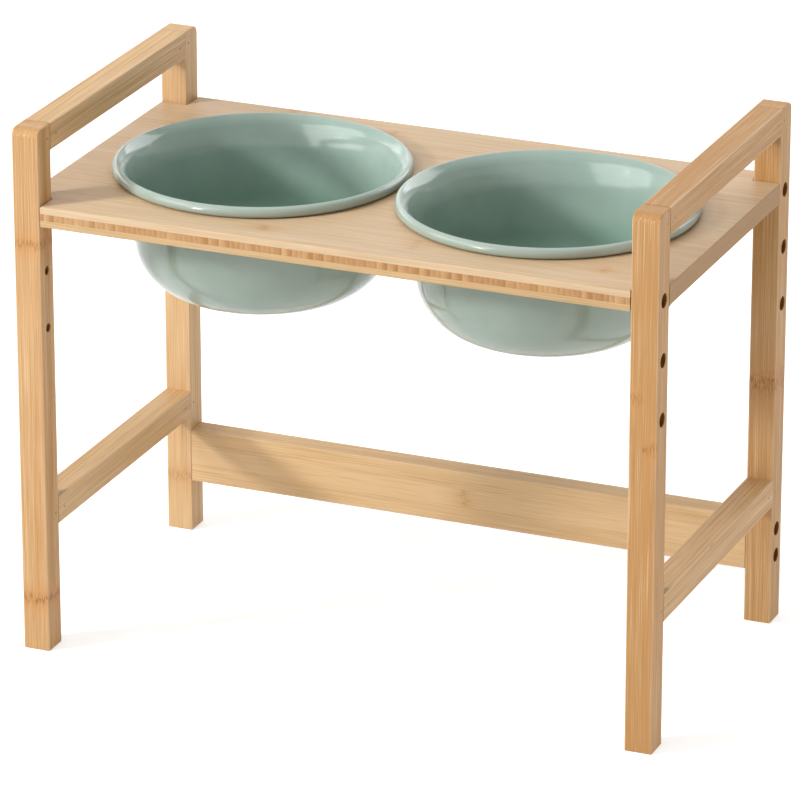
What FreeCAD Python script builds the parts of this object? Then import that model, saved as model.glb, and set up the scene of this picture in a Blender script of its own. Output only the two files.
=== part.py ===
import FreeCAD, Part
import math
import os

# A raised pet feeder: a bamboo stand with a three-ply shelf, and two ceramic bowls hanging in its holes.
# Millimetres, X to the right, Y to the back, Z up, origin on the floor under the middle of the stand.

# Stand, over the outer faces of its legs
stand_width = 476.0
stand_depth = 264.0
stand_height = 390.0
leg_side = 20.0
leg_top_round = 6.0
edge_ease = 1.0

# Rails and stretcher
grip_gap = 35.0
side_rail_bottom = 91.0
stretcher_bottom = 40.0
stretcher_height = 41.0
stretcher_thickness = 18.0

# Shelf of three glued plies, notched round the legs, and the heights that it can be bolted at
ply_thickness = 5.0
notch_gap = 0.5
level_pitch = 42.5
level_count = 3

# Bowls: the room between legs and rims and between the rims, then rim, lip, body and foot ring
bowl_leg_gap = 4.5
bowl_rim_gap = 3.0
bowl_rim_height = 8.0
bowl_rim_overhang = 10.5
bowl_rim_flat = 4.0
bowl_rim_round = 1.9
bowl_lip_drop = 6.0
bowl_lip_round = 7.0
bowl_neck_round = 2.0
bowl_body_taper = 7.5
bowl_belly_round = 42.0
bowl_depth = 90.5
bowl_wall = 5.0
bowl_floor = 6.0
bowl_foot_width = 7.0
bowl_foot_height = 2.5
bowl_foot_round = 0.8
bowl_hole_gap = 2.5
bowl_seat_gap = 0.2

# Bolts with a hex socket in a round head, and the threaded inserts that they screw into
bolt_diameter = 6.0
bolt_head_diameter = 9.8
bolt_head_height = 6.0
bolt_head_ease = 0.5
bolt_seat_depth = 12.0
bolt_head_gap = 0.35
bolt_shank_gap = 0.3
bolt_tip_gap = 2.5
hex_key = 5.0
hex_depth = 3.0
hex_sides = 6
stretcher_bolt_pitch = 20.5
insert_diameter = 9.0
insert_length = 14.0
insert_gap = 0.1
insert_ease = 0.5
thread_gap = 0.05

# Dowels in the rail joints, and the brads that pin them
dowel_diameter = 8.0
dowel_length = 24.0
dowel_gap = 0.1
dowel_end_gap = 0.5
dowel_ease = 0.8
brad_diameter = 1.4
brad_gap = 0.05
brad_end_gap = 5.0
brad_rail_inset = 9.0
brad_leg_inset = 5.0

# One overrun serves all cuts, one tolerance all picks of an edge by its place
overrun = 1.0
pick = 0.001

half_width = stand_width / 2
half_depth = stand_depth / 2
leg_x = half_width - leg_side / 2
leg_y = half_depth - leg_side / 2
inner_width = stand_width - 2 * leg_side
inner_depth = stand_depth - 2 * leg_side
joint_y = inner_depth / 2
handle_bottom = stand_height - leg_side
rail_heights = (handle_bottom + leg_side / 2, side_rail_bottom + leg_side / 2)
shelf_top = handle_bottom - grip_gap
shelf_bottom = shelf_top - 3 * ply_thickness
shelf_middle = (shelf_top + shelf_bottom) / 2
shelf_insert_x = inner_width / 2 - notch_gap
stretcher_insert_x = inner_width / 2
bowl_rim_diameter = (inner_width - bowl_rim_gap) / 2 - bowl_leg_gap
bowl_neck_diameter = bowl_rim_diameter - 2 * bowl_rim_overhang
bowl_base_diameter = bowl_neck_diameter - 2 * bowl_body_taper
bowl_foot_diameter = bowl_base_diameter - 2 * bowl_belly_round
bowl_x = (bowl_rim_diameter + bowl_rim_gap) / 2
bolt_seat_x = half_width - bolt_seat_depth
bolt_length = bolt_seat_x - shelf_insert_x + insert_length - bolt_tip_gap
brad_length = leg_side - brad_end_gap

level_heights = [shelf_middle - level * level_pitch for level in range(level_count)]
stretcher_middle = stretcher_bottom + stretcher_height / 2
stretcher_bolt_heights = [stretcher_middle + step * stretcher_bolt_pitch / 2 for step in (1, -1)]

sides = {"left": -1, "right": 1}
ends = {"front": -1, "rear": 1}
corners = [(side, end) for side in sides.values() for end in ends.values()]
along_x = FreeCAD.Vector(1, 0, 0)
along_y = FreeCAD.Vector(0, 1, 0)
along_z = FreeCAD.Vector(0, 0, 1)


def point(x, y, z):
    return FreeCAD.Vector(x, y, z)


def block(corner, opposite):
    """A block between any two opposite corners."""
    span = FreeCAD.BoundBox(corner, opposite)
    return Part.makeBox(span.XLength, span.YLength, span.ZLength, point(span.XMin, span.YMin, span.ZMin))


def rod(start, direction, diameter, length):
    """A round rod from a start point along a direction."""
    return Part.makeCylinder(diameter / 2, length, start, direction)


def middle(edge):
    return edge.BoundBox.Center


def near(value, target):
    return abs(value - target) < pick


def edges_along(shape, direction):
    """The straight edges of a shape that run along a direction."""
    straight = [edge for edge in shape.Edges if isinstance(edge.Curve, Part.Line)]
    return [edge for edge in straight if near(abs(edge.Curve.Direction.dot(direction)), 1)]


def round_edges(shape):
    """The round edges of a rod."""
    return [edge for edge in shape.Edges if isinstance(edge.Curve, Part.Circle)]


def eased_bar(corner, size, direction):
    """A rail with its long edges eased and its ends left square for the joints."""
    bar = block(corner, corner + size)
    return bar.makeFillet(edge_ease, edges_along(bar, direction))


def bolt_hole(side, y, z):
    """A counterbored hole through a leg, along X, with the counterbore on the outer face."""
    inward = along_x * -side
    outside = point(side * (half_width + overrun), y, z)
    seat = rod(outside, inward, bolt_head_diameter + 2 * bolt_head_gap, bolt_seat_depth + overrun)
    shank = rod(outside, inward, bolt_diameter + 2 * bolt_shank_gap, leg_side + 2 * overrun)
    return seat.fuse(shank)


def hex_socket(side, y, z):
    """The hex key's socket, sunk into the outer face of a bolt's head."""
    radius = hex_key / 2 / math.cos(math.pi / hex_sides)
    turns = [2 * math.pi * step / hex_sides for step in range(hex_sides + 1)]
    face_x = side * (bolt_seat_x + bolt_head_height)
    rim = [point(face_x, y + radius * math.cos(turn), z + radius * math.sin(turn)) for turn in turns]
    return Part.Face(Part.makePolygon(rim)).extrude(along_x * -side * hex_depth)


def bolt(side, y, z):
    """A bolt seated in its counterbore, with its shank pointing to the middle of the stand."""
    outward = along_x * side
    seat = point(side * bolt_seat_x, y, z)
    head = rod(seat, outward, bolt_head_diameter, bolt_head_height)
    crown = [edge for edge in round_edges(head) if not near(middle(edge).x, seat.x)]
    head = head.makeFillet(bolt_head_ease, crown).cut(hex_socket(side, y, z))
    shank = rod(seat, outward * -1, bolt_diameter, bolt_length)
    return head.fuse(shank).removeSplitter()


def insert_hole(side, face_x, y, z):
    """The blind hole of a threaded insert, sunk into a face that looks outwards along X."""
    mouth = point(side * (face_x + overrun), y, z)
    return rod(mouth, along_x * -side, insert_diameter + 2 * insert_gap, insert_length + insert_gap + overrun)


def insert(side, face_x, y, z):
    """A threaded insert, flush with the face that it is sunk into."""
    inward = along_x * -side
    mouth = point(side * face_x, y, z)
    sleeve = rod(mouth, inward, insert_diameter, insert_length)
    sleeve = sleeve.makeChamfer(insert_ease, round_edges(sleeve))
    bore = rod(mouth - inward * overrun, inward, bolt_diameter + 2 * thread_gap, insert_length + 2 * overrun)
    return sleeve.cut(bore)


def brad_places(side, end, z):
    """Where a joint's two brads enter the face that looks along +X: one in the rail, one in the leg."""
    face_x = side * leg_x + leg_side / 2
    insets = (-brad_rail_inset, brad_leg_inset)
    return [point(face_x, end * (joint_y + inset), z) for inset in insets]


def brad(place):
    return rod(place, along_x * -1, brad_diameter, brad_length)


def brad_hole(place):
    start = place + along_x * overrun
    return rod(start, along_x * -1, brad_diameter + 2 * brad_gap, brad_length + brad_gap + overrun)


def brad_holes(side, end, z):
    return [brad_hole(place) for place in brad_places(side, end, z)]


def dowel(side, end, z):
    """A dowel across the joint between a leg and a rail, with its brads' holes."""
    start = point(side * leg_x, end * joint_y - dowel_length / 2, z)
    peg = rod(start, along_y, dowel_diameter, dowel_length)
    peg = peg.makeChamfer(dowel_ease, round_edges(peg))
    return peg.cut(brad_holes(side, end, z))


def joint_cuts(side, end, z):
    """What a rail joint takes out of its leg and its rail: the dowel's hole and the brads' holes."""
    length = dowel_length + 2 * dowel_end_gap
    start = point(side * leg_x, end * joint_y - length / 2, z)
    return [rod(start, along_y, dowel_diameter + 2 * dowel_gap, length)] + brad_holes(side, end, z)


def leg_blank(side, end):
    """A leg's square post, its outer top edge rounded and every other edge eased."""
    foot = point(side * half_width, end * half_depth, 0)
    inner_y = foot.y - end * leg_side
    post = block(foot, point(foot.x - side * leg_side, inner_y, stand_height))
    across = edges_along(post, along_x)
    outer_top = [e for e in across if near(middle(e).y, foot.y) and near(middle(e).z, stand_height)]
    post = post.makeFillet(leg_top_round, outer_top)
    side_edges = [e for e in post.Edges if near(e.BoundBox.XLength, 0)]
    across = edges_along(post, along_x)
    end_edges = [e for e in across if near(middle(e).z, 0) or near(middle(e).y, inner_y)]
    return post.makeFillet(edge_ease, side_edges + end_edges)


def leg(side, end):
    """A leg bored for the shelf's heights and the rail joints, and at the rear for the stretcher."""
    heights = level_heights + (stretcher_bolt_heights if end == ends["rear"] else [])
    cuts = [bolt_hole(side, end * leg_y, z) for z in heights]
    for z in rail_heights:
        cuts += joint_cuts(side, end, z)
    return leg_blank(side, end).cut(cuts)


def frame_rail(side, bottom):
    """A handle or a lower side rail, between the front and rear legs of one side."""
    corner = point(side * leg_x - leg_side / 2, -joint_y, bottom)
    bar = eased_bar(corner, point(leg_side, inner_depth, leg_side), along_y)
    cuts = [cut for end in ends.values() for cut in joint_cuts(side, end, bottom + leg_side / 2)]
    return bar.cut(cuts)


def rear_stretcher():
    """The wide plank between the rear legs, its front face flush with theirs."""
    corner = point(-inner_width / 2, joint_y, stretcher_bottom)
    plank = eased_bar(corner, point(inner_width, stretcher_thickness, stretcher_height), along_x)
    places = [(side, z) for side in sides.values() for z in stretcher_bolt_heights]
    return plank.cut([insert_hole(side, stretcher_insert_x, leg_y, z) for side, z in places])


def shelf_board(bottom):
    """A ply's board, flush with the legs' outer faces, notched round each leg, with its two bowl holes."""
    corner = point(-half_width, -half_depth, bottom)
    board = block(corner, corner + point(stand_width, stand_depth, ply_thickness))
    notch = leg_side + notch_gap
    cut_bottom = bottom - overrun
    cut_height = ply_thickness + 2 * overrun
    cuts = []
    for side, end in corners:
        inside = point(side * (half_width - notch), end * (half_depth - notch), cut_bottom)
        cuts.append(block(inside, inside + point(side * half_width, end * half_depth, cut_height)))
    for side in sides.values():
        start = point(side * bowl_x, 0, cut_bottom)
        cuts.append(rod(start, along_z, bowl_neck_diameter + 2 * bowl_hole_gap, cut_height))
    return board.cut(cuts)


def shelf_ply(bottom, outside):
    """One ply, bored for the inserts; its edges that lie at the height outside are eased."""
    board = shelf_board(bottom)
    level = [edge for edge in board.Edges if near(edge.BoundBox.ZLength, 0)]
    eased = [edge for edge in level if near(middle(edge).z, outside)]
    if eased:
        board = board.makeFillet(edge_ease, eased)
    return board.cut([insert_hole(side, shelf_insert_x, end * leg_y, shelf_middle) for side, end in corners])


def rounded_wire(outline):
    """A closed wire in the XZ plane through corners (x, z, radius), each rounded by a tangent arc."""
    spots = [point(x, 0, z) for x, z, radius in outline]
    stops = []
    for index, (x, z, radius) in enumerate(outline):
        spot = spots[index]
        back = (spots[index - 1] - spot).normalize()
        ahead = (spots[(index + 1) % len(spots)] - spot).normalize()
        half_angle = back.getAngle(ahead) / 2
        reach = radius / math.tan(half_angle)
        crown = spot + (back + ahead).normalize() * (radius / math.sin(half_angle) - radius)
        stops.append((spot + back * reach, crown, spot + ahead * reach, radius))
    edges = []
    for index, (start, crown, end, radius) in enumerate(stops):
        if radius > 0:
            edges.append(Part.Arc(start, crown, end).toShape())
        following = stops[(index + 1) % len(stops)][0]
        edges.append(Part.LineSegment(end, following).toShape())
    return Part.Wire(edges)


def bowl(side):
    """A bowl of revolution: foot ring, round-bellied body, flared lip and a rim that sits on the shelf."""
    seat = shelf_top + bowl_seat_gap
    rim = shelf_top + bowl_rim_height
    foot = shelf_top - bowl_depth
    base = foot + bowl_foot_height
    rim_radius = bowl_rim_diameter / 2
    neck_radius = bowl_neck_diameter / 2
    base_radius = bowl_base_diameter / 2
    foot_radius = bowl_foot_diameter / 2
    outside = [
        (0, base, 0),
        (foot_radius - bowl_foot_width, base, 0),
        (foot_radius - bowl_foot_width, foot, bowl_foot_round),
        (foot_radius, foot, bowl_foot_round),
        (foot_radius, base, 0),
        (base_radius, base, bowl_belly_round),
        (neck_radius, seat, bowl_neck_round),
        (rim_radius, seat, bowl_rim_round),
        (rim_radius, rim, bowl_rim_round),
    ]
    inside = [
        (rim_radius - bowl_rim_flat, rim, bowl_rim_round),
        (neck_radius - bowl_wall, rim - bowl_lip_drop, bowl_lip_round),
        (base_radius - bowl_wall, base + bowl_floor, bowl_belly_round - bowl_wall),
        (0, base + bowl_floor, 0),
    ]
    solid = Part.Face(rounded_wire(outside + inside)).revolve(point(0, 0, 0), along_z, 360)
    solid.translate(point(side * bowl_x, 0, 0))
    return solid


def frame_pieces():
    """The legs, rails and stretcher of the stand."""
    pieces = {"rear_stretcher": rear_stretcher()}
    for side_name, side in sides.items():
        pieces[f"handle_{side_name}"] = frame_rail(side, handle_bottom)
        pieces[f"side_rail_{side_name}"] = frame_rail(side, side_rail_bottom)
        for end_name, end in ends.items():
            pieces[f"leg_{end_name}_{side_name}"] = leg(side, end)
    return pieces


def shelf_pieces():
    """The three plies, the bolts that hold them at the top level, and the bowls."""
    pieces = {
        "shelf_top_ply": shelf_ply(shelf_top - ply_thickness, shelf_top),
        "shelf_core_ply": shelf_ply(shelf_bottom + ply_thickness, shelf_top),
        "shelf_bottom_ply": shelf_ply(shelf_bottom, shelf_bottom),
    }
    for side_name, side in sides.items():
        pieces[f"bowl_{side_name}"] = bowl(side)
        for end_name, end in ends.items():
            pieces[f"shelf_bolt_{end_name}_{side_name}"] = bolt(side, end * leg_y, shelf_middle)
    return pieces


def hidden_pieces():
    """The fasteners inside the joints, each kind a group of separate solids."""
    stretcher_places = [(side, leg_y, z) for side in sides.values() for z in stretcher_bolt_heights]
    shelf_places = [(side, end * leg_y, shelf_middle) for side, end in corners]
    handle_z, side_rail_z = rail_heights
    joints = [(side, end, z) for side, end in corners for z in rail_heights]
    groups = {
        "shelf_inserts": [insert(side, shelf_insert_x, y, z) for side, y, z in shelf_places],
        "stretcher_bolts": [bolt(side, y, z) for side, y, z in stretcher_places],
        "stretcher_inserts": [insert(side, stretcher_insert_x, y, z) for side, y, z in stretcher_places],
        "handle_dowels": [dowel(side, end, handle_z) for side, end in corners],
        "side_rail_dowels": [dowel(side, end, side_rail_z) for side, end in corners],
        "brads": [brad(place) for joint in joints for place in brad_places(*joint)],
    }
    return {name: Part.makeCompound(solids) for name, solids in groups.items()}


os.makedirs("parts", exist_ok=True)
for name, shape in {**frame_pieces(), **shelf_pieces(), **hidden_pieces()}.items():
    state = "valid" if shape.isValid() else "not valid"
    print(name, len(shape.Solids), "solids", round(shape.Volume), "mm3", state)
    shape.exportStep(f"parts/{name}.step")
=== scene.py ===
# %% [markdown]
# A raised feeder for a dog: a bamboo stand, a three-ply bamboo shelf with two round holes, and two sage green
# ceramic bowls that hang in the holes by their rims. The shapes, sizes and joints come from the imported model,
# which is loaded as a fixed frame. This lesson gives each surface its finish, models the bowls as a potter would
# turn them, and sets up a bright photo studio around the feeder.

# %% Load the frame
import math

import bpy
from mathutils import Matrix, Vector


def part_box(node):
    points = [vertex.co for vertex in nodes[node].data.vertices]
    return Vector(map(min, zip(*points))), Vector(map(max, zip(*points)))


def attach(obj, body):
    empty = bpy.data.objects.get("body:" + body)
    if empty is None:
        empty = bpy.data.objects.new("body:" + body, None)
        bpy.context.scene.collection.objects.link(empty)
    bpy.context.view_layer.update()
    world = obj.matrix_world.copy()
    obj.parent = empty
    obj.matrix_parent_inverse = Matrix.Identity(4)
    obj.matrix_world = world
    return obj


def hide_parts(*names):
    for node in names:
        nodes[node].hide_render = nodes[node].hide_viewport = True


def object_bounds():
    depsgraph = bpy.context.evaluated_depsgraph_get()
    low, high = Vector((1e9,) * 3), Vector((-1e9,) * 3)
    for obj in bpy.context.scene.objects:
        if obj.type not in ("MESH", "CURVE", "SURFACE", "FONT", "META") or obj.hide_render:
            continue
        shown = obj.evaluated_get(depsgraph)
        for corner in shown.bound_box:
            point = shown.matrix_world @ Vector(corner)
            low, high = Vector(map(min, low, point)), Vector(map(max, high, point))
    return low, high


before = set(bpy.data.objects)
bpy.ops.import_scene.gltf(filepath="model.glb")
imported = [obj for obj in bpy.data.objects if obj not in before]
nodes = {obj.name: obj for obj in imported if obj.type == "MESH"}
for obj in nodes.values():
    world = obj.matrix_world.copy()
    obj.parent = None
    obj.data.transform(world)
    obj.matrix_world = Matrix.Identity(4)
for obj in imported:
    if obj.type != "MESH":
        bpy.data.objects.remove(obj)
cad_box = [list(corner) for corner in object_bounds()]
stand_low, stand_high = (Vector(corner) for corner in cad_box)
print("frame:", len(nodes), "pieces,", [round(side, 3) for side in stand_high - stand_low], "m")

# %% [markdown]
# The photo was taken with a long lens, from the front right and a little above, so the far legs look almost as
# large as the near ones. A camera is easiest to place by a point that it looks at, two angles and a distance.
# The lens is given for a sensor 36 mm wide. The picture is square.

# %% Camera
camera_aim = Vector((-0.0258, 0.0541, 0.1541))
camera_azimuth = math.radians(22.69)
camera_elevation = math.radians(21.25)
camera_distance = 4.1686
camera_lens = 261.6


def direction(azimuth, elevation):
    """The unit vector from the object to a viewer or a lamp; azimuth 0 is straight in front."""
    level = math.cos(elevation)
    return Vector((math.sin(azimuth) * level, -math.cos(azimuth) * level, math.sin(elevation)))


def look_from(thing, aim, towards, distance):
    """Puts a camera or a lamp at a distance from its aim and turns it to face the aim."""
    thing.location = aim + towards * distance
    thing.rotation_euler = towards.to_track_quat("Z", "Y").to_euler()


bpy.ops.object.select_all(action="DESELECT")
bpy.ops.object.camera_add()
camera = bpy.context.object
camera.name = "photo_camera"
camera.data.lens = camera_lens
look_from(camera, camera_aim, direction(camera_azimuth, camera_elevation), camera_distance)
bpy.context.scene.camera = camera
print("camera at", [round(value, 3) for value in camera.location])

# %% [markdown]
# Finishes are made of shader nodes. To write them as plain sums, one small class wraps a node's output: adding or
# multiplying two of these adds the Math node that does it, and one method adds any other node. Colours go through
# a Mix node, because a Math node would turn them grey.

# %% Shader sums
noise_roughness = 0.55
noise_spread = (0.28, 0.72)


class Channel:
    """A shader node's output that can be used in sums."""

    def __init__(self, tree, output):
        self.tree = tree
        self.output = output

    def node(self, kind, settings=None, sockets=None, out=0):
        """Adds a node: its settings first, then the values or links of its sockets."""
        made = self.tree.nodes.new(kind)
        for name, value in (settings or {}).items():
            setattr(made, name, value)
        for name, value in (sockets or {}).items():
            if isinstance(value, Channel):
                self.tree.links.new(value.output, made.inputs[name])
            else:
                made.inputs[name].default_value = value
        return Channel(self.tree, made.outputs[out])

    def math(self, operation, first, second=0.0):
        return self.node("ShaderNodeMath", {"operation": operation}, {0: first, 1: second})

    def __add__(self, other):
        return self.math("ADD", self, other)

    def __sub__(self, other):
        return self.math("SUBTRACT", self, other)

    def __rsub__(self, other):
        return self.math("SUBTRACT", other, self)

    def __mul__(self, other):
        return self.math("MULTIPLY", self, other)

    def __truediv__(self, other):
        return self.math("DIVIDE", self, other)

    def __pow__(self, other):
        return self.math("POWER", self, other)

    __radd__ = __add__
    __rmul__ = __mul__

    def centred(self):
        """Moves what runs from 0 to 1 to either side of 0."""
        return self - 0.5

    def inset(self, span):
        """How far a place lies inside the nearer of two faces, of which one is at 0 and one a span away."""
        return self.math("MINIMUM", self, span - self)

    def step(self, low, high):
        """Rises smoothly from 0 at low to 1 at high."""
        sockets = {"Value": self, "From Min": low, "From Max": high}
        return self.node("ShaderNodeMapRange", {"interpolation_type": "SMOOTHSTEP"}, sockets)

    def bell(self, middle, width):
        """A soft hump of height 1 about a middle."""
        away = (self - middle) / width
        return self.math("EXPONENT", away * away * -1.0)

    def between(self, first, second):
        """The colour this far along the way from a first colour to a second."""
        settings = {"data_type": "RGBA", "clamp_factor": True}
        return self.node("ShaderNodeMix", settings, {0: self, 6: first, 7: second}, 2)

    def tint(self, other, amount):
        """Mixes an amount of another colour into this one."""
        return amount.between(self, other)

    def measured_from(self, point):
        """A place, measured from a point."""
        return self.node("ShaderNodeVectorMath", {"operation": "SUBTRACT"}, {0: self, 1: point})

    def part(self, axis):
        """One of a place's three parts."""
        return self.node("ShaderNodeSeparateXYZ", {}, {0: self}, axis)

    def noise(self, scale, detail=2.0):
        """Soft noise about a place, spread over nearly the whole range from 0 to 1."""
        sockets = {"Vector": self, "Scale": scale, "Detail": detail, "Roughness": noise_roughness}
        return self.node("ShaderNodeTexNoise", {}, sockets).step(*noise_spread)

    def chance(self):
        """A random number from 0 to 1, the same wherever this value is the same."""
        return self.node("ShaderNodeTexWhiteNoise", {"noise_dimensions": "1D"}, {"W": self})


def distance_along(first, second):
    """How far a place is away, from two parts at right angles."""
    return (first ** 2.0 + second ** 2.0) ** 0.5


print("shader sums ready")

# %% [markdown]
# Every finish starts from Blender's standard surface shader. What is the same all over a piece is set on the
# shader's own sockets, and what varies is linked to them. Patterns read the piece's own place, in millimetres, so
# that their sizes can be given as on the real object.

# %% Finishes
millimetres = 1000.0


def finish(name, **constants):
    """A new material: its shader with constant sockets set, and a piece's own place in millimetres."""
    material = bpy.data.materials.new(name)
    material.use_nodes = True
    tree = material.node_tree
    shader = tree.nodes["Principled BSDF"]
    for socket, value in constants.items():
        shader.inputs[socket.replace("_", " ")].default_value = value
    place = Channel(tree, tree.nodes.new("ShaderNodeTexCoord").outputs["Object"])
    place = place.node("ShaderNodeVectorMath", {"operation": "SCALE"}, {0: place, "Scale": millimetres})
    return material, shader, place


def connect(shader, **channels):
    """Links what varies over the surface to the shader's sockets."""
    for socket, channel in channels.items():
        channel.tree.links.new(channel.output, shader.inputs[socket.replace("_", " ")])


def bump(height, strength, reach):
    """A bump whose reach is given in millimetres."""
    sockets = {"Height": height, "Strength": strength, "Distance": reach / millimetres}
    return height.node("ShaderNodeBump", {}, sockets)


def box_millimetres(node):
    """A CAD node's low and high corners in millimetres."""
    return [Vector(corner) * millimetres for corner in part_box(node)]


def dress(node, material):
    """Gives a CAD node its only material."""
    nodes[node].data.materials.clear()
    nodes[node].data.materials.append(material)


def grey(level):
    return (level, level, level, 1)


print("patterns are given in millimetres,", int(millimetres), "to the metre")

# %% [markdown]
# The studio is white all round. Its sky is bright near the horizon and dimmer overhead. To keep the shade inside
# the bowls deep, the sky is dimmer for the light that it scatters than for what is seen of it, straight or mirrored
# in the glaze. The plain colour transform keeps the finishes as they are given.

# %% Sky
sky_light = 0.30
sky_horizon = 1.0
sky_overhead = 0.42
sky_bend = (0.10, 0.75)

scene = bpy.context.scene
scene.view_settings.view_transform = "Standard"

sky = bpy.data.worlds.new("white_studio")
sky.use_nodes = True
backdrop = sky.node_tree.nodes["Background"]
gaze = Channel(sky.node_tree, sky.node_tree.nodes.new("ShaderNodeTexCoord").outputs["Generated"])
seen = gaze.part("Z").step(*sky_bend) * (sky_overhead - sky_horizon) + sky_horizon
scattered = gaze.node("ShaderNodeLightPath", out="Is Diffuse Ray")
connect(backdrop, Strength=seen + (sky_light - seen) * scattered)
backdrop.inputs["Color"].default_value = grey(1)
scene.world = sky
print("sky:", sky.name)

# %% [markdown]
# A low lamp at the front left and a weaker one above it add the shape: they make the front faces brighter than the
# right-hand ones, light the far walls inside the bowls and throw the soft shadows. Two large soft lamps overhead
# light the shelf, and a wide low one at the right fills the shaded sides. The lamps are hidden from reflections.
# Panels that light nothing stand in for them there: they draw the bright marks on the glaze and give the bars
# their sheen. In this way light and gloss can be set one without the other.

# %% Lamps
lamps = {
    "key_lamp": dict(azimuth=-48.5, elevation=23, distance=5.0, width=0.60, height=0.60, power=145.0),
    "high_key_lamp": dict(azimuth=-48.5, elevation=41, distance=5.0, width=0.60, height=1.2, power=62.0),
    "top_back_lamp": dict(azimuth=180, elevation=65, distance=2.6, width=2.5, height=2.5, power=19.0),
    "top_front_lamp": dict(azimuth=-25, elevation=60, distance=2.6, width=2.5, height=2.5, power=18.5),
    "right_lamp": dict(azimuth=75, elevation=5, distance=3.0, width=2.0, height=0.6, power=22.0),
    "front_panel": dict(azimuth=-46, elevation=28, distance=2.8, width=2.8, height=2.0, shine=3.4),
    "small_panel": dict(azimuth=-26, elevation=2, distance=2.8, width=0.36, height=0.36, shine=60.0),
    "left_panel": dict(azimuth=-112, elevation=20, distance=2.8, width=1.4, height=0.7, shine=1.9),
    "far_panel": dict(azimuth=203, elevation=22, distance=3.2, width=2.6, height=1.4, shine=0.6),
    "back_panel": dict(azimuth=155, elevation=30, distance=3.2, width=2.4, height=1.5, shine=3.4),
}


def add_lamp(name, azimuth, elevation, distance, width, height, shine=0.0, power=0.0):
    """A rectangle that faces the feeder: a lamp of some power, or a panel that only shines in reflections."""
    bpy.ops.object.light_add(type="AREA")
    lamp = bpy.context.object
    lamp.name = name
    lamp.data.shape = "RECTANGLE"
    lamp.data.size = width
    lamp.data.size_y = height
    lamp.data.energy = power + shine * math.pi * width * height
    lamp.visible_diffuse = power > 0
    lamp.visible_glossy = shine > 0
    lamp.visible_camera = False
    look_from(lamp, camera_aim, direction(math.radians(azimuth), math.radians(elevation)), distance)


for name, recipe in lamps.items():
    add_lamp(name, **recipe)
print("lamps and panels:", list(lamps))

# %% [markdown]
# The floor is a sheet of matt white paper on a light table. It glows, so that it stays white in the picture, but
# the glow doesn't light the feeder, whose shaded sides would lose their shape. A real sheet is never perfectly
# even, so a very faint cloud runs through it.

# %% Floor
floor_size = 30.0
floor_squares = 8
floor_white = 0.80
floor_glow = 0.54
paper_roughness = 0.85
paper_cloud = 0.004
paper_shade = 0.97

bpy.ops.mesh.primitive_grid_add(
    x_subdivisions=floor_squares, y_subdivisions=floor_squares, size=floor_size, location=(0, 0, 0))
floor = bpy.context.object
floor.name = "studio_floor"


def paper_finish():
    material, shader, place = finish("white_paper", Roughness=paper_roughness, Emission_Strength=floor_glow)
    scattered = place.node("ShaderNodeLightPath", out="Is Diffuse Ray")
    connect(shader, Emission_Color=scattered.between(grey(1), grey(0)))
    cloud = place.noise(paper_cloud)
    connect(shader, Base_Color=cloud.between(grey(floor_white), grey(floor_white * paper_shade)))
    return material


floor.data.materials.append(paper_finish())
print("floor:", floor_size, "m of", floor.data.materials[0].name)

# %% [markdown]
# Bamboo comes as thin strips, and a bar is a stack of strips glued side by side. Each strip has its own tint, long
# fibres, darker and paler ones, and now and then a node, where the cane had its joint: a narrow band of brown
# flecks with a warm glow on both sides. The pattern is solid, so it runs round the corners and shows dots on the
# cut ends, as the real material does. Noise that is squeezed across the strip and drawn out along it gives the
# fibres. A grain below is the length of its marks and their fineness across, in millimetres.

# %% Bamboo strips
fibre_brown = (0.290, 0.135, 0.042, 1)
fibre_pale = (0.800, 0.605, 0.375, 1)
glow_brown = (0.560, 0.265, 0.086, 1)
fleck_brown = (0.290, 0.112, 0.027, 1)
streak_grain = (130.0, 0.68)
thread_grain = (50.0, 0.42)
glint_grain = (90.0, 0.50)
cloud_grain = (150.0, 11.0)
wander_grain = (60.0, 3.0)
fleck_grain = (5.0, 0.75)
fibre_onset = (0.58, 1.0)
fleck_onset = (0.25, 0.85)
cloud_share = 0.26
streak_share = 0.56
thread_share = 0.30
glint_share = 0.42
glow_share = 0.62
fleck_share = 0.80
glow_reach = 3.0
wander = 4.0
grain_jump = 40.0
face_margin = 0.001  # keeps a face that lies on a border in one strip
layer_step = 3.0
strip_step = 11.0
fibre_relief = 0.25
axis_order = {"X": ("X", "Y", "Z"), "Y": ("Y", "Z", "X"), "Z": ("Z", "Y", "X")}


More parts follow.
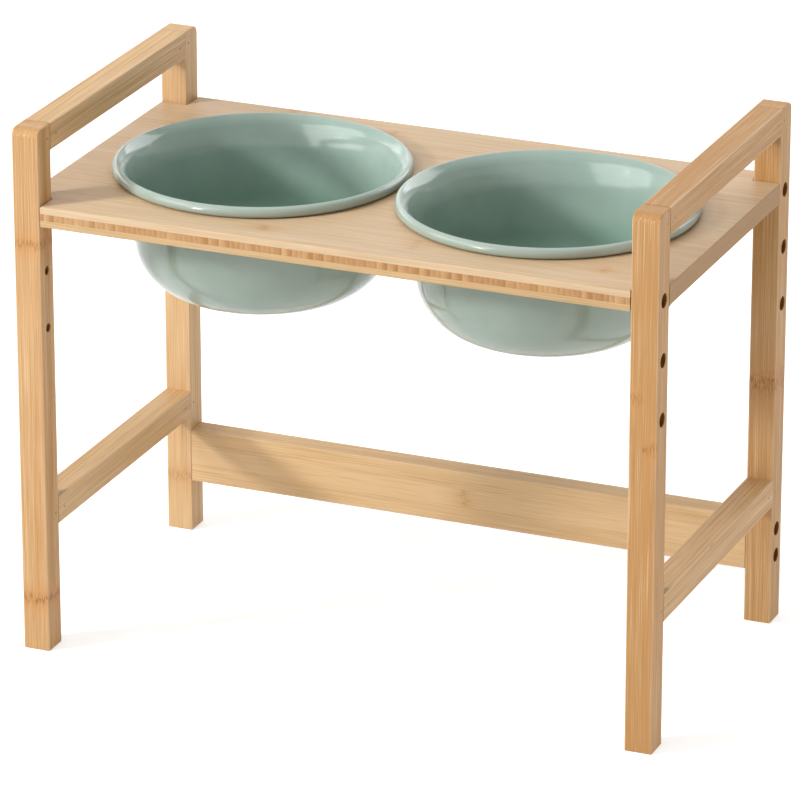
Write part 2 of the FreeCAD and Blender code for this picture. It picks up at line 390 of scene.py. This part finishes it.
class Strips:
    """A bamboo piece's own place, from its low corner in millimetres, and the strip that a point is in."""

    def __init__(self, node, place, along):
        low, high = box_millimetres(node)
        own = place.measured_from(low)
        order = axis_order[along]
        self.run, self.thick, self.wide = (own.part(axis) for axis in order)
        self.length, self.depth, self.width = ((high - low)["XYZ".index(axis)] for axis in order)

    def count(self, layer_size, strip_size, seed):
        """Numbers the strips by their layer and by their place across."""
        layer = self.thick.math("FLOOR", self.thick / layer_size + face_margin)
        strip = self.wide.math("FLOOR", self.wide / strip_size + face_margin)
        self.number = layer * layer_step + strip * strip_step + seed
        self.chance = self.number.chance()

    def grain(self, length, fine):
        """Noise drawn out along the strip, from another place of the noise for each strip."""
        spot = {0: self.run / length + self.chance * grain_jump, 1: self.thick / fine, 2: self.wide / fine}
        return self.run.node("ShaderNodeCombineXYZ", {}, spot).noise(1.0)

    def colour(self, pale, warm, tone, contrast, fibres=1.0):
        """Strips of differing tint with fibres; also gives the streaks and the threads for the surface."""
        streaks = self.grain(*streak_grain)
        threads = self.grain(*thread_grain)
        glints = self.grain(*glint_grain)
        clouds = self.grain(*cloud_grain)
        warmth = self.chance.centred() * contrast + clouds.centred() * cloud_share
        warmth = warmth + streaks.centred() * (streak_share * fibres) + tone
        colour = warmth.between(pale, warm)
        colour = colour.tint(fibre_brown, threads.step(*fibre_onset) * (thread_share * fibres))
        colour = colour.tint(fibre_pale, glints.step(*fibre_onset) * (glint_share * fibres))
        return colour, streaks, threads

    def joint(self, colour, spot, mine, strength, spread):
        """A node of the cane: brown flecks in a band that spreads some way, and a warm glow about them."""
        here = self.run + self.grain(*wander_grain).centred() * wander
        flecks = self.grain(*fleck_grain).step(*fleck_onset)
        glow = here.bell(spot, spread * glow_reach) * mine
        band = here.bell(spot, spread) * flecks * mine
        colour = colour.tint(glow_brown, glow * (glow_share * strength))
        return colour.tint(fleck_brown, band * (fleck_share * strength))


def wood_surface(shader, colour, streaks, threads, roughness, rougher, relief):
    """Links a bamboo colour and the fibres, which are a little rougher and stand out a little."""
    connect(shader, Base_Color=colour, Roughness=roughness + streaks * rougher)
    connect(shader, Normal=bump(threads + streaks, relief, fibre_relief))


print("bamboo: streaks of", streak_grain, "mm, threads of", thread_grain, "mm")

# %% [markdown]
# The bars are the legs, rails, handles and the stretcher. Each has its own tone, as no two real canes are alike,
# and its nodes about where the photo shows them. The insides of the drilled holes are darkened with painted shade,
# the eased edges, which sanding leaves, are a little paler, and a rail ends in a thin dark line of painted shade
# where it meets a leg.

# %% Bars
pale_strip = (0.705, 0.468, 0.243, 1)
warm_strip = (0.480, 0.246, 0.082, 1)
hole_and_seam_shade = (0.230, 0.086, 0.016, 1)
sanded = (0.780, 0.590, 0.380, 1)
bar_gloss = 0.27
bar_surface = dict(roughness=0.40, rougher=0.16, relief=0.16)
bar_contrast = 0.42
sanded_edge = (0.2, 1.5)
sanded_share = 0.35
seam_shade_width = 0.4
seam_shade_share = 0.28
hole_radius = 5.25
hole_edge = 0.5
hole_depth = (0.2, 0.8)


def bar_finish(node, along, tone, layers=3, strips=1, joints=(), holes=(), shaded_seams=False, seed=0.0):
    """Laminated bamboo for a bar; joints are (place along it, strip's number or None, strength, spread)."""
    material, shader, place = finish(f"bamboo_{node}", Specular_IOR_Level=bar_gloss)
    bar = Strips(node, place, along)
    bar.count(bar.depth / layers, bar.width / strips, seed)
    colour, streaks, threads = bar.colour(pale_strip, warm_strip, tone, bar_contrast)
    for spot, wanted, strength, spread in joints:
        mine = 1.0 if wanted is None else bar.number.math("COMPARE", bar.number, wanted + seed)
        colour = bar.joint(colour, spot, mine, strength, spread)
    near_side = 1 - bar.thick.inset(bar.depth).step(*sanded_edge)
    near_face = 1 - bar.wide.inset(bar.width).step(*sanded_edge)
    colour = colour.tint(sanded, near_side * near_face * sanded_share)
    # Painted shade: a thin dark line at both ends of a rail, where it meets a leg.
    if shaded_seams:
        colour = colour.tint(hole_and_seam_shade, bar.run.inset(bar.length).bell(0.0, seam_shade_width) * seam_shade_share)
    # Painted shade: the walls inside the holes are darkened.
    within = bar.wide.inset(bar.width).step(*hole_depth)
    for height in holes:
        away = distance_along(bar.thick - bar.depth / 2, bar.run - height)
        colour = colour.tint(hole_and_seam_shade, (1 - away.step(hole_radius, hole_radius + hole_edge)) * within)
    wood_surface(shader, colour, streaks, threads, **bar_surface)
    return material


shelf_levels = (327.5, 285.0, 242.5)
rear_levels = shelf_levels + (70.75, 50.25)
bars = {
    "leg_front_left": dict(
        along="Z", tone=0.86, seed=1.0, holes=shelf_levels,
        joints=((39.0, None, 1.2, 3.4), (306.0, None, 1.0, 3.4))),
    "leg_front_right": dict(
        along="Z", tone=1.10, seed=2.0, holes=shelf_levels, strips=2,
        joints=((259.0, 0.0, 0.8, 4.0), (223.0, strip_step, 1.0, 4.0))),
    "leg_rear_left": dict(
        along="Z", tone=0.12, seed=3.0, holes=rear_levels, joints=((44.0, None, 0.55, 3.6),)),
    "leg_rear_right": dict(
        along="Z", tone=1.08, seed=4.0, holes=rear_levels, joints=((184.0, None, 1.1, 8.0),)),
    "handle_left": dict(
        along="Y", tone=0.36, seed=5.0, shaded_seams=True, joints=((52.0, 0.0, 0.8, 3.6),)),
    "handle_right": dict(
        along="Y", tone=1.16, seed=6.0, shaded_seams=True, joints=((150.0, layer_step, 0.8, 3.6),)),
    "side_rail_left": dict(
        along="Y", tone=0.42, seed=7.0, shaded_seams=True, joints=((70.0, layer_step, 0.8, 3.6),)),
    "side_rail_right": dict(
        along="Y", tone=0.46, seed=8.0, shaded_seams=True, joints=((96.0, 2 * layer_step, 0.9, 4.0),)),
    "rear_stretcher": dict(
        along="X", tone=0.16, seed=9.0, shaded_seams=True, layers=2, strips=3,
        joints=((219.0, strip_step, 0.5, 3.0),)),
}
for node, recipe in bars.items():
    dress(node, bar_finish(node, **recipe))
print("bamboo bars:", len(bars))

# %% [markdown]
# The shelf is three plies. The outer two run from side to side and are paler; each of their strips has a faint node
# at a random place, and the top one two clear nodes. The core runs from front to back, so its front edge shows the
# square ends of its strips as a row of blocks, each darker to one side, where the cane's skin was. On the cut ends
# at the left and the right the open fibres look darker.

# %% Shelf plies
ply_colours = {
    "shelf_top_ply": ((0.645, 0.480, 0.306, 1), (0.520, 0.336, 0.178, 1)),
    "shelf_bottom_ply": ((0.590, 0.400, 0.207, 1), (0.480, 0.288, 0.120, 1)),
    "shelf_core_ply": ((0.572, 0.350, 0.156, 1), (0.368, 0.165, 0.047, 1)),
}
cut_end = (0.340, 0.170, 0.044, 1)
cut_edge = (0.2, 1.2)
cut_share = 0.90
ply_gloss = 0.26
ply_surface = dict(roughness=0.36, rougher=0.14, relief=0.10)
undivided = 2  # a strip twice as large as its ply is never divided
outer_strip = 19.0
outer_look = dict(tone=0.45, contrast=0.36, fibres=0.9)
faint_joint = dict(strength=0.35, spread=3.0)
faint_joint_range = 1.4  # past the ply's end, so that some strips show no node
clear_joint = dict(strength=0.7, spread=3.4)
clear_joint_width = 6.0
top_ply_joints = ((181.5, 20.5), (425.6, 31.5))
other_draw = 0.5  # gives a strip a second random number
core_strip = 3.9
core_tone = 0.30
core_step = 0.26
core_skin = 0.40
core_look = dict(contrast=0.54, fibres=0.3)


def start_ply(node, along):
    """A ply's material with its shader, and its strips."""
    material, shader, place = finish(f"ply_{node}", Specular_IOR_Level=ply_gloss)
    return material, shader, Strips(node, place, along)


def darken_cut(colour, cut):
    """Darkens a ply's colour close to a cut end."""
    return colour.tint(cut_end, (1 - cut.step(*cut_edge)) * cut_share)


def outer_ply(node, seed, joints=()):
    """Wide strips from side to side; joints are (place along, place across) of the clear nodes."""
    material, shader, ply = start_ply(node, "X")
    ply.count(outer_strip, ply.width * undivided, seed)
    colour, streaks, threads = ply.colour(*ply_colours[node], **outer_look)
    colour = darken_cut(colour, ply.run.inset(ply.length))
    anywhere = (ply.number + other_draw).chance() * (ply.length * faint_joint_range)
    colour = ply.joint(colour, anywhere, 1.0, **faint_joint)
    for spot, across in joints:
        colour = ply.joint(colour, spot, ply.thick.bell(across, clear_joint_width), **clear_joint)
    wood_surface(shader, colour, streaks, threads, **ply_surface)
    return material


def core_ply(node):
    """Narrow strips from front to back, one lighter and one darker in turn."""
    material, shader, ply = start_ply(node, "Y")
    ply.count(ply.depth * undivided, core_strip, 0.0)
    in_turn = ply.number.math("PINGPONG", ply.number / strip_step, 1.0)
    to_skin = ply.wide.math("FRACT", ply.wide / core_strip)
    tone = in_turn * core_step + to_skin * core_skin + core_tone
    colour, streaks, threads = ply.colour(*ply_colours[node], tone, **core_look)
    colour = darken_cut(colour, ply.wide.inset(ply.width))
    wood_surface(shader, colour, streaks, threads, **ply_surface)
    return material


dress("shelf_top_ply", outer_ply("shelf_top_ply", 20.0, top_ply_joints))
dress("shelf_bottom_ply", outer_ply("shelf_bottom_ply", 200.0))
dress("shelf_core_ply", core_ply("shelf_core_ply"))
print("shelf plies:", len(ply_colours))

# %% [markdown]
# A bowl is a body of revolution. A potter turns it on a wheel with a shaped rib, and the same works here: half of
# its section is drawn as a chain of points, and each corner is then rounded with a vertex bevel. Two helpers do
# this, one for the chain and one for a corner.

# %% Section tools
start_size = 0.001


def draw_section(corners):
    """Draws a chain of edges through corner points, by pulling out one vertex after another."""
    bpy.ops.object.select_all(action="DESELECT")
    bpy.ops.mesh.primitive_plane_add(size=start_size, location=corners[0])
    bpy.ops.object.transform_apply(location=True, rotation=True, scale=True)
    bpy.ops.object.mode_set(mode="EDIT")
    bpy.ops.mesh.select_all(action="SELECT")
    bpy.ops.mesh.merge(type="CENTER")
    for start, end in zip(corners, corners[1:]):
        bpy.ops.mesh.extrude_region_move(TRANSFORM_OT_translate={"value": end - start})
    bpy.ops.object.mode_set(mode="OBJECT")
    return bpy.context.object


def round_corner(piece, corner, cut, segments):
    """Rounds the chain's corner at a place; cut is how far along each edge the rounding starts."""
    bpy.ops.object.mode_set(mode="EDIT")
    bpy.ops.mesh.select_mode(type="VERT")
    bpy.ops.mesh.select_all(action="DESELECT")
    bpy.ops.object.mode_set(mode="OBJECT")
    nearest = min(piece.data.vertices, key=lambda vertex: (vertex.co - corner).length)
    nearest.select = True
    bpy.ops.object.mode_set(mode="EDIT")
    bpy.ops.mesh.bevel(offset=cut, segments=segments, affect="VERTICES")
    bpy.ops.object.mode_set(mode="OBJECT")


print("section tools ready")

# %% [markdown]
# The chain is spun once round the bowl's axis. The seam is merged, and one level of subdivision takes out the last
# facets. The rim lies on the shelf, the body hangs through the hole, and a low foot ring stands out below. The
# section goes from the middle of the underside, out and up to the rim, and back down the inside.

# %% Bowl shape
neck_radius = 0.0955
base_radius = 0.0880
floor_radius = 0.0830
foot_outer = 0.0460
foot_inner = 0.0390
foot_height = 0.0025
floor_thickness = 0.0060
rim_height = 0.0076
rim_inner = 0.1020
lip_radius = 0.0972
lip_drop = 0.0040
throat_radius = 0.0912
throat_drop = 0.0170
turning_steps = 144
seam_gap = 0.00001


def bowl_section(low, high):
    """The corners of half a section: radius, height, and the cut and the segments of each rounding."""
    rim_radius = (high.x - low.x) / 2
    base = low.z + foot_height
    under_rim = high.z - rim_height
    return [
        (0, base, 0, 0),
        (foot_inner, base, 0.0006, 3),
        (foot_inner, low.z, 0.0009, 3),
        (foot_outer, low.z, 0.0009, 3),
        (foot_outer, base, 0.0006, 3),
        (base_radius, base, 0.0385, 16),
        (neck_radius, under_rim, 0.0016, 4),
        (rim_radius, under_rim, 0.0030, 8),
        (rim_radius, high.z, 0.0036, 9),
        (rim_inner, high.z, 0.0022, 7),
        (lip_radius, high.z - lip_drop, 0.0028, 10),
        (throat_radius, high.z - throat_drop, 0.0075, 10),
        (floor_radius, base + floor_thickness, 0.0345, 16),
        (0, base + floor_thickness, 0, 0),
    ]


def turn_bowl(name, node):
    """Turns one bowl in the box of its CAD node."""
    low, high = (Vector(corner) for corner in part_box(node))
    axis = (low + high) / 2
    section = bowl_section(low, high)
    corners = [Vector((axis.x + radius, axis.y, height)) for radius, height, cut, segments in section]
    bowl = draw_section(corners)
    bowl.name = name
    for corner, (radius, height, cut, segments) in zip(corners, section):
        if segments:
            round_corner(bowl, corner, cut, segments)
    bpy.ops.object.mode_set(mode="EDIT")
    bpy.ops.mesh.select_all(action="SELECT")
    bpy.ops.mesh.spin(steps=turning_steps, angle=math.tau, center=(axis.x, axis.y, 0), axis=(0, 0, 1))
    bpy.ops.mesh.select_all(action="SELECT")
    bpy.ops.mesh.remove_doubles(threshold=seam_gap)
    bpy.ops.mesh.normals_make_consistent(inside=False)
    bpy.ops.object.mode_set(mode="OBJECT")
    smooth = bowl.modifiers.new("smooth", "SUBSURF")
    smooth.levels = smooth.render_levels = 1
    bpy.ops.object.modifier_apply(modifier=smooth.name)
    bpy.ops.object.shade_smooth()
    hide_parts(node)
    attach(bowl, node)
    return bowl


bowls = {node: turn_bowl(f"glazed_{node}", node) for node in ("bowl_left", "bowl_right")}
for bowl in bowls.values():
    print(bowl.name, len(bowl.data.polygons), "faces")

# %% [markdown]
# The bowls are covered with a glossy sage glaze. A glaze is thin where it runs off an edge, so the rim is paler,
# and its paleness is a painted highlight too. A glaze is thick in the bottom, so the floor inside is deeper, and
# this is painted shade too. The inside is a paler sage than the outside, which is painted light, and the outside
# turns paler towards the foot, a painted reflection of the white floor. The foot ring is wiped clean before the
# bowl is fired, so the bare clay shows there. A slow ripple in the glaze breaks up the reflections a little. Inside
# and outside are told apart by the way a face looks: inwards or up, or outwards. Heights are in millimetres, from
# the bowl's foot or below its top.

# %% Glaze
sage_outside = (0.272, 0.338, 0.288, 1)
sage_inside_lit = (0.358, 0.458, 0.408, 1)
sage_deep = (0.136, 0.262, 0.180, 1)
pale_sage = (0.410, 0.480, 0.425, 1)
bare_clay = (0.600, 0.540, 0.450, 1)
glaze_index = 1.5
inside_turn = (-0.1, 0.3)
axis_margin = 0.001  # avoids a division by 0 on the axis
rim_below_top = (9.0, 6.0)
rim_start = (100.0, 103.0)
rim_sheen_share = 0.60
near_foot_rise = (9.0, 80.0)
pooled_and_shaded_share = 0.88
floor_reflection_share = 0.5
bare_rise = (0.5, 0.9)
mottle = dict(scale=0.035, detail=3.0)
mottle_share = 0.18
slow_ripple = dict(scale=0.05, detail=1.0)
fine_ripple = dict(scale=0.4, detail=1.0)
fine_ripple_share = 0.05
ripple_strength = 0.12
ripple_reach = 0.5
glaze_roughness = 0.10
mottle_roughness = 0.06
clay_roughness = 0.6


def glaze_finish(node):
    """Sage glaze for one bowl, with its own axis and heights."""
    low, high = box_millimetres(node)
    material, shader, place = finish(f"sage_glaze_{node}", IOR=glaze_index)
    own = place.measured_from(Vector(((low.x + high.x) / 2, (low.y + high.y) / 2, 0)))
    east, north, rise = (own.part(axis) for axis in "XYZ")
    away = distance_along(east, north)
    facing = place.node("ShaderNodeNewGeometry", out="Normal")
    outward = (east * facing.part("X") + north * facing.part("Y")) / (away + axis_margin)
    inside = (facing.part("Z") - outward).step(*inside_turn)
    cloud = place.noise(**mottle)
    # The rim bead, which is paler: partly thin glaze, partly a painted highlight.
    rim = rise.step(*(high.z - drop for drop in rim_below_top)) * away.step(*rim_start)
    # Near the foot: the inside gets painted shade with the pooled glaze, and the outside a painted reflection.
    near_foot = 1 - rise.step(*(low.z + height for height in near_foot_rise))
    bare = 1 - rise.step(*(low.z + height for height in bare_rise))
    # Painted reflection of the white floor: the outside turns paler towards the foot.
    outside = (near_foot * floor_reflection_share).between(sage_outside, pale_sage)
    # Painted light: the inside is given a paler sage than the outside.
    colour = inside.between(outside, sage_inside_lit)
    # Painted shade, with the pooled glaze: the inside turns deeper towards the foot.
    colour = colour.tint(sage_deep, inside * near_foot * pooled_and_shaded_share)
    colour = colour.tint(sage_deep, cloud * mottle_share)
    # Painted highlight, with the thin glaze: the rim bead turns pale.
    colour = colour.tint(pale_sage, rim * rim_sheen_share)
    colour = colour.tint(bare_clay, bare)
    ripple = place.noise(**slow_ripple) + place.noise(**fine_ripple) * fine_ripple_share
    roughness = glaze_roughness + cloud * mottle_roughness + bare * clay_roughness
    connect(shader, Base_Color=colour, Roughness=roughness)
    connect(shader, Normal=bump(ripple, ripple_strength, ripple_reach))
    return material


for node, bowl in bowls.items():
    bowl.data.materials.append(glaze_finish(node))
print("glaze on", len(bowls), "bowls")

# %% [markdown]
# The fasteners: bolts with a dark oxide finish, brass inserts, dowels of pale bamboo and plain wire brads. Most of
# them hide in the wood and show only when a bolt is drawn out. A word in each node's name tells what it is.

# %% Fasteners
stain = dict(scale=0.8, detail=3.0)
stain_roughness = 0.15


def metal_finish(name, bright, dark, roughness):
    """A metal with soft stains, which are darker and rougher."""
    material, shader, place = finish(name, Metallic=1.0)
    cloud = place.noise(**stain)
    connect(shader, Base_Color=cloud.between(bright, dark), Roughness=roughness + cloud * stain_roughness)
    return material


fasteners = {
    "bolt": metal_finish("dark_oxide", grey(0.070), grey(0.035), 0.34),
    "inserts": metal_finish("turned_brass", (0.560, 0.370, 0.130, 1), (0.420, 0.260, 0.080, 1), 0.24),
    "dowels": nodes["leg_rear_left"].data.materials[0],
    "brads": metal_finish("brad_wire", (0.200, 0.130, 0.080, 1), (0.110, 0.070, 0.045, 1), 0.40),
}
for node in nodes:
    for word, material in fasteners.items():
        if word in node:
            dress(node, material)
            print(node, "in", material.name)

# %% [markdown]
# The box of the imported model was taken as it was loaded, in cad_box.

# %% End
print("done")
